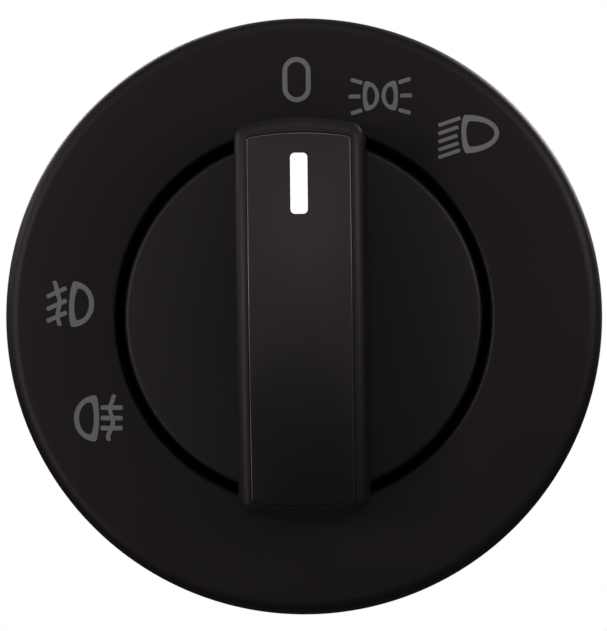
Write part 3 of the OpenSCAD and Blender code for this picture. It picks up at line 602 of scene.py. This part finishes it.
def bar_loft(name, rings):
    """Raises a ring of corners through all the rings, and closes both ends."""
    bpy.ops.object.select_all(action="DESELECT")
    bpy.ops.mesh.primitive_circle_add(vertices=len(rings[0]), radius=10 * mm)
    piece = bpy.context.object
    piece.name = name
    bpy.ops.object.mode_set(mode="EDIT")
    bpy.ops.mesh.select_mode(type="EDGE")
    bpy.ops.mesh.select_all(action="SELECT")
    start = [v.co.copy() for v in bmesh.from_edit_mesh(piece.data).verts]
    raise_ring(piece, start, rings[0])
    for low, high in zip(rings, rings[1:]):
        bpy.ops.mesh.extrude_edges_move(TRANSFORM_OT_translate={"value": (0, 0, 0)})
        raise_ring(piece, low, high)
    close_across(piece, rings[0])
    close_across(piece, rings[-1])
    bpy.ops.mesh.select_all(action="SELECT")
    bpy.ops.mesh.normals_make_consistent(inside=False)
    bpy.ops.object.mode_set(mode="OBJECT")
    return piece


def cut(piece, tool, operation="DIFFERENCE"):
    """Cuts a tool out of a piece, or joins it on, and clears the tool away."""
    pick(piece)
    step = piece.modifiers.new("cut", "BOOLEAN")
    step.operation = operation
    step.solver = "EXACT"
    step.object = tool
    bpy.ops.object.modifier_apply(modifier=step.name)
    bpy.data.objects.remove(tool)


bar = bar_loft("grip_bar",
    [level_ring(0, bar_root)]
    + [crowned_ring(bar_draft + bar_roll * (1 - math.cos(a)), bar_roll * (1 - math.sin(a)))
       for a in quarter_turn(12)]
    + [crowned_ring(panel_inset, panel_seat)])
cut(bar, turned("lip_cutter", [(lip_from, 0), (lip_past, 0), (lip_past, lip), (lip_from, lip)]))
smooth(bar)
disc_plate = turned("knob_disc",
    [(0, disc_face), (disc / 2, disc_face)]
    + arc(disc - disc_roll, disc_face - disc_roll, disc_roll, 90, 0, 8)
    + [(disc, skirt_end), (disc - skirt_wall, skirt_end), (disc - skirt_wall, disc_inside)]
    + [(hub, disc_inside), (hub, hub_end), (hub_bore, hub_end), (hub_bore, disc_inside)]
    + [(0, disc_inside)], closed=False)
dog_profile = [(dog_in, dog_end), (dog_out, dog_end), (dog_out, dog_root), (dog_in, dog_root)]
for dog_at in (90, 270):
    dog = turned("dog", dog_profile, steps=8, start=dog_at - dog_half, sweep=2 * dog_half)
    cut(disc_plate, dog, "UNION")
rib_profile = [(rib_in, 0), (rib_out, 0), (rib_out, rib_high), (rib_in, rib_high)]
for rib_at in (45, 135, 225, 315):
    rib = turned("rib", rib_profile, steps=2, start=rib_at - rib_half, sweep=2 * rib_half)
    cut(disc_plate, rib, "UNION")
smooth(disc_plate)
knob_look = moulded("knob_satin_black", satin_black, rough=0.5, shine=0.43, glint=(1, 0.87, 0.91))
fit(disc_plate, knob_look, "knob", "knob_plastic", "knob")
fit(bar, knob_look, "knob", "knob_plastic")

# The grip strip: a smoother, slightly warmer black panel let into the bar's back, a little
# proud of it, with a fine joint all round and softly rolled edges.
strip_black = (0.0015, 0.0012, 0.0010)
joint = 0.035 * mm
strip_roll = 0.18 * mm
strip_thick = 1.2 * mm
strip = bar_loft("grip_strip",
    [crowned_ring(panel_inset + joint, strip_thick)]
    + [crowned_ring(panel_inset + joint + strip_roll * (1 - math.cos(a)),
                    -proud + strip_roll * (1 - math.sin(a))) for a in quarter_turn(5)])
smooth(strip)
strip_look = moulded("grip_smooth_black", strip_black, rough=0.28, shine=1.0, glint=(1, 0.86, 0.86))
fit(strip, strip_look, "knob", "grip_plastic", "grip_panel")

# The pointer: a white light guide that stands in the strip as a short upright line, flush with the
# crown. In the car it is lit from the lamp board through the knob; here that light is a painted
# glow, an even emission in its material.
pointer_half = 0.95 * mm
pointer_long = 6.8 * mm
pointer_out = 14.85 * mm
pointer_deep = 1.5 * mm
pointer_corner = 0.5 * mm
pointer_edge = 0.08 * mm
pointer_rise = 0.04 * mm
pointer_proud = 0.01 * mm
pointer_white = (0.9, 0.9, 0.89)
pointer_painted_glow = 0.6
pointer_lean = math.asin(pointer_out / crown)
pointer_height = crown_height(pointer_out) + proud + pointer_proud - pointer_deep / 2
bpy.ops.object.select_all(action="DESELECT")
bpy.ops.mesh.primitive_cube_add(size=1, location=(0, 0, 0))
pointer = bpy.context.object
pointer.name = "pointer_line"
bpy.ops.object.mode_set(mode="EDIT")
bpy.ops.mesh.select_mode(type="EDGE")
bpy.ops.mesh.select_all(action="SELECT")
bpy.ops.transform.resize(value=(2 * pointer_half, pointer_deep, pointer_long))
edit = bmesh.from_edit_mesh(pointer.data)
for e in edit.edges:
    e.select = abs(e.verts[0].co.y - e.verts[1].co.y) > 0.9 * pointer_deep
bmesh.update_edit_mesh(pointer.data)
bpy.ops.mesh.bevel(offset=pointer_corner, segments=6)
bpy.ops.mesh.select_mode(type="FACE")
edit = bmesh.from_edit_mesh(pointer.data)
for f in edit.faces:
    f.select = f.normal.y < -0.9
bmesh.update_edit_mesh(pointer.data)
bpy.ops.mesh.inset(thickness=pointer_edge)
bpy.ops.transform.translate(value=(0, -pointer_rise, 0))
bpy.ops.mesh.select_all(action="SELECT")
bpy.ops.transform.rotate(value=pointer_lean, orient_axis="X", center_override=(0, 0, 0))
bpy.ops.transform.translate(value=(0, -pointer_height, pointer_out))
bpy.ops.object.mode_set(mode="OBJECT")
smooth(pointer, 30)
pointer_look = moulded("pointer_white", pointer_white, rough=0.4, shine=0.3, grain=0.02, drift=0.02)
pointer_skin = pointer_look.node_tree.nodes["Principled BSDF"]
# Painted glow: the white pointer emits light of its own, with no lamp behind it.
pointer_skin.inputs["Emission Color"].default_value = (1, 1, 1, 1)
pointer_skin.inputs["Emission Strength"].default_value = pointer_painted_glow
fit(pointer, pointer_look, "knob", "pointer_white", "pointer")

# The mouldings behind the bezel are polyamide: black for the barrel of bearing plate, housing
# and rear cover, red for the release ring, natural for the rest. Each is a copy of the frame's
# shape, with its triangles merged into faces and its edges softened as a mould leaves them.
node_weld = 0.001 * mm
flat_angle = math.radians(0.4)
soft_from = math.radians(38)


def dressed(name, node, look, body, slot, edge=0.15 * mm):
    """A copy of a node with whole faces and soft edges, which stands for the node. It has no
    parent, so it can ride on a body or be drawn between two."""
    pick(nodes[node])
    bpy.ops.object.duplicate()
    bpy.ops.object.parent_clear(type="CLEAR_KEEP_TRANSFORM")
    piece = bpy.context.object
    piece.name = name
    del piece["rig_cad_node"]
    bpy.ops.object.mode_set(mode="EDIT")
    bpy.ops.mesh.select_mode(type="VERT")
    bpy.ops.mesh.select_all(action="SELECT")
    bpy.ops.mesh.remove_doubles(threshold=node_weld)
    bpy.ops.mesh.dissolve_limited(angle_limit=flat_angle)
    bpy.ops.mesh.normals_make_consistent(inside=False)
    bpy.ops.object.mode_set(mode="OBJECT")
    if edge:
        soft = piece.modifiers.new("soft_edges", "BEVEL")
        soft.width = edge
        soft.segments = 2
        soft.limit_method = "ANGLE"
        soft.angle_limit = soft_from
        bpy.ops.object.modifier_apply(modifier=soft.name)
    smooth(piece)
    fit(piece, look, body, slot, node)
    return piece


barrel_look = moulded("barrel_black", (0.012, 0.012, 0.013), rough=0.5, shine=0.3, grain=0.12)
natural_look = moulded("polyamide_natural", (0.58, 0.54, 0.45), rough=0.42, shine=0.4, grain=0.05)
natural_skin = natural_look.node_tree.nodes["Principled BSDF"]
natural_skin.inputs["Subsurface Weight"].default_value = 0.2
natural_skin.inputs["Subsurface Scale"].default_value = mm
red_look = moulded("polyamide_red", (0.42, 0.035, 0.028), rough=0.45, shine=0.4, grain=0.06)
dressed("housing_barrel", "housing", barrel_look, "housing", "housing_plastic")
dressed("rear_cap", "rear_cover", barrel_look, "housing", "housing_plastic")
dressed("bearing_wall", "bearing_plate", barrel_look, "housing", "housing_plastic", edge=0.1 * mm)
dressed("latch_tongue_right", "latch_right", natural_look, "latch_right", "natural_plastic",
        edge=0.2 * mm)
dressed("latch_tongue_left", "latch_left", natural_look, "latch_left", "natural_plastic",
        edge=0.2 * mm)
dressed("unlocking_ring", "release_ring", red_look, "release_ring", "red_plastic", edge=0.1 * mm)
dressed("contact_rotor", "rotor", natural_look, "rotor", "natural_plastic", edge=0.1 * mm)
dressed("fog_carriage", "fog_slider", natural_look, "fog_slider", "natural_plastic", edge=0.1 * mm)

# The metal parts: stamped brass contacts, tinned blades, plated steel and drawn spring wire.
# Each has the fine lines of its rolling or drawing, and the springs are rounded by subdivision.
line_stretch = (1, 1, 12)
polish_drift = 0.07
line_depth = 0.02 * mm


def metal(name, colour, rough, lines):
    """Plain metal with fine level lines, and a faint drift in its polish."""
    look = bpy.data.materials.new(name)
    look.use_nodes = True
    n = look.node_tree.nodes
    links = look.node_tree.links
    skin = n["Principled BSDF"]
    skin.inputs["Metallic"].default_value = 1
    place = n.new("ShaderNodeTexCoord")
    squeeze = n.new("ShaderNodeMapping")
    squeeze.inputs["Scale"].default_value = line_stretch
    links.new(place.outputs["Object"], squeeze.inputs["Vector"])
    drawn = n.new("ShaderNodeTexNoise")
    drawn.inputs["Scale"].default_value = lines
    drawn.inputs["Detail"].default_value = 4
    links.new(squeeze.outputs[0], drawn.inputs["Vector"])
    tint = n.new("ShaderNodeMix")
    tint.data_type = "RGBA"
    tint.inputs[6].default_value = tuple(c * 0.88 for c in colour) + (1,)
    tint.inputs[7].default_value = tuple(min(1, c * 1.08) for c in colour) + (1,)
    links.new(drawn.outputs["Fac"], tint.inputs[0])
    links.new(tint.outputs[2], skin.inputs["Base Color"])
    gloss = n.new("ShaderNodeMapRange")
    gloss.inputs["To Min"].default_value = rough - polish_drift
    gloss.inputs["To Max"].default_value = rough + polish_drift
    links.new(drawn.outputs["Fac"], gloss.inputs["Value"])
    links.new(gloss.outputs[0], skin.inputs["Roughness"])
    bump = n.new("ShaderNodeBump")
    bump.inputs["Strength"].default_value = 0.06
    bump.inputs["Distance"].default_value = line_depth
    links.new(drawn.outputs["Fac"], bump.inputs["Height"])
    links.new(bump.outputs[0], skin.inputs["Normal"])
    return look


brass_look = metal("stamped_brass", (0.74, 0.53, 0.22), 0.32, 500)
tinned_look = metal("tinned_brass", (0.7, 0.69, 0.66), 0.3, 400)
steel_look = metal("plated_steel", (0.6, 0.6, 0.61), 0.3, 350)
wire_look = metal("spring_wire", (0.42, 0.42, 0.43), 0.34, 600)
dressed("plug_blades", "terminal_blades", tinned_look, "housing", "tinned", edge=0.12 * mm)
screws = dressed("cover_screw_set", "cover_screws", steel_look, "housing", "steel", edge=0.15 * mm)

# Each cover screw has a cross slot, cut by two bars.
slot_half = 0.28 * mm
slot_long = 1.25 * mm
slot_deep = 0.8 * mm
head_half = 2 * mm
head_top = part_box("cover_screws")[1].y
screw_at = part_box("cover_screws")[1].x - head_half
for x in (-screw_at, screw_at):
    for z in (-screw_at, screw_at):
        for half_x, half_z in ((slot_long, slot_half), (slot_half, slot_long)):
            bpy.ops.object.select_all(action="DESELECT")
            bpy.ops.mesh.primitive_cube_add(size=2, location=(x, head_top, z),
                                            scale=(half_x, slot_deep, half_z))
            cut(screws, bpy.context.object)
dressed("drive_shaft", "shaft", steel_look, "knob", "steel", edge=0.12 * mm)
dressed("shaft_clip", "circlip", wire_look, "knob", "spring_steel", edge=0.06 * mm)
dressed("click_ball", "detent_ball", steel_look, "detent_ball", "steel", edge=0)


def wound(name, node, body):
    """A spring: its wire is a node's copy, rounded by one subdivision."""
    coil = dressed(name, node, wire_look, body, "spring_steel", edge=0)
    pick(coil)
    rounder = coil.modifiers.new("round_wire", "SUBSURF")
    rounder.levels = 1
    bpy.ops.object.modifier_apply(modifier=rounder.name)
    smooth(coil, 60)
    return coil


# The knob's spring stands on the rotor and pushes on the knob; it is left without a body, with its
# place baked into its mesh. The other three stand in the housing, each with a mesh of its own.
knob_spring = wound("knob_spring", "push_spring", None)
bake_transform(knob_spring)
click_spring = wound("click_spring", "detent_spring", "housing")
spring_right = wound("tongue_spring_right", "latch_spring_right", "housing")
spring_left = wound("tongue_spring_left", "latch_spring_left", "housing")
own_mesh(spring_right)
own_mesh(spring_left)
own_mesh(click_spring)
for node in ("rotor_contacts", "fixed_contacts", "contact_risers",
             "fog_contacts", "fog_bridges", "board_pins"):
    nodes[node].material_slots[0].material = brass_look

# The lighting of the signs: a clear acrylic ring under the bezel, the green lamp board with its
# lamps and resistors, and the laminate plate that carries the fixed contacts.
clear_look = moulded("acrylic_clear", (0.86, 0.9, 0.9), rough=0.12, shine=0.5, grain=0.02,
                     drift=0.01)
clear_skin = clear_look.node_tree.nodes["Principled BSDF"]
clear_skin.inputs["Transmission Weight"].default_value = 0.85
clear_skin.inputs["IOR"].default_value = 1.49
nodes["light_guide"].material_slots[0].material = clear_look
nodes["lamp_board"].material_slots[0].material = moulded(
    "board_green", (0.02, 0.12, 0.05), rough=0.35, shine=0.5, grain=0.2, cell=0.5 * mm)
lamp_look = moulded("lamp_amber", (0.8, 0.72, 0.42), rough=0.15, shine=0.5, grain=0.02)
lamp_skin = lamp_look.node_tree.nodes["Principled BSDF"]
lamp_skin.inputs["Transmission Weight"].default_value = 0.4
nodes["lamp_leds"].material_slots[0].material = lamp_look
nodes["board_resistors"].material_slots[0].material = moulded(
    "resistor_black", (0.015, 0.015, 0.016), rough=0.3, shine=0.5, grain=0.05)
nodes["contact_plate"].material_slots[0].material = moulded(
    "laminate_brown", (0.16, 0.1, 0.055), rough=0.45, shine=0.4, grain=0.25, cell=0.6 * mm)
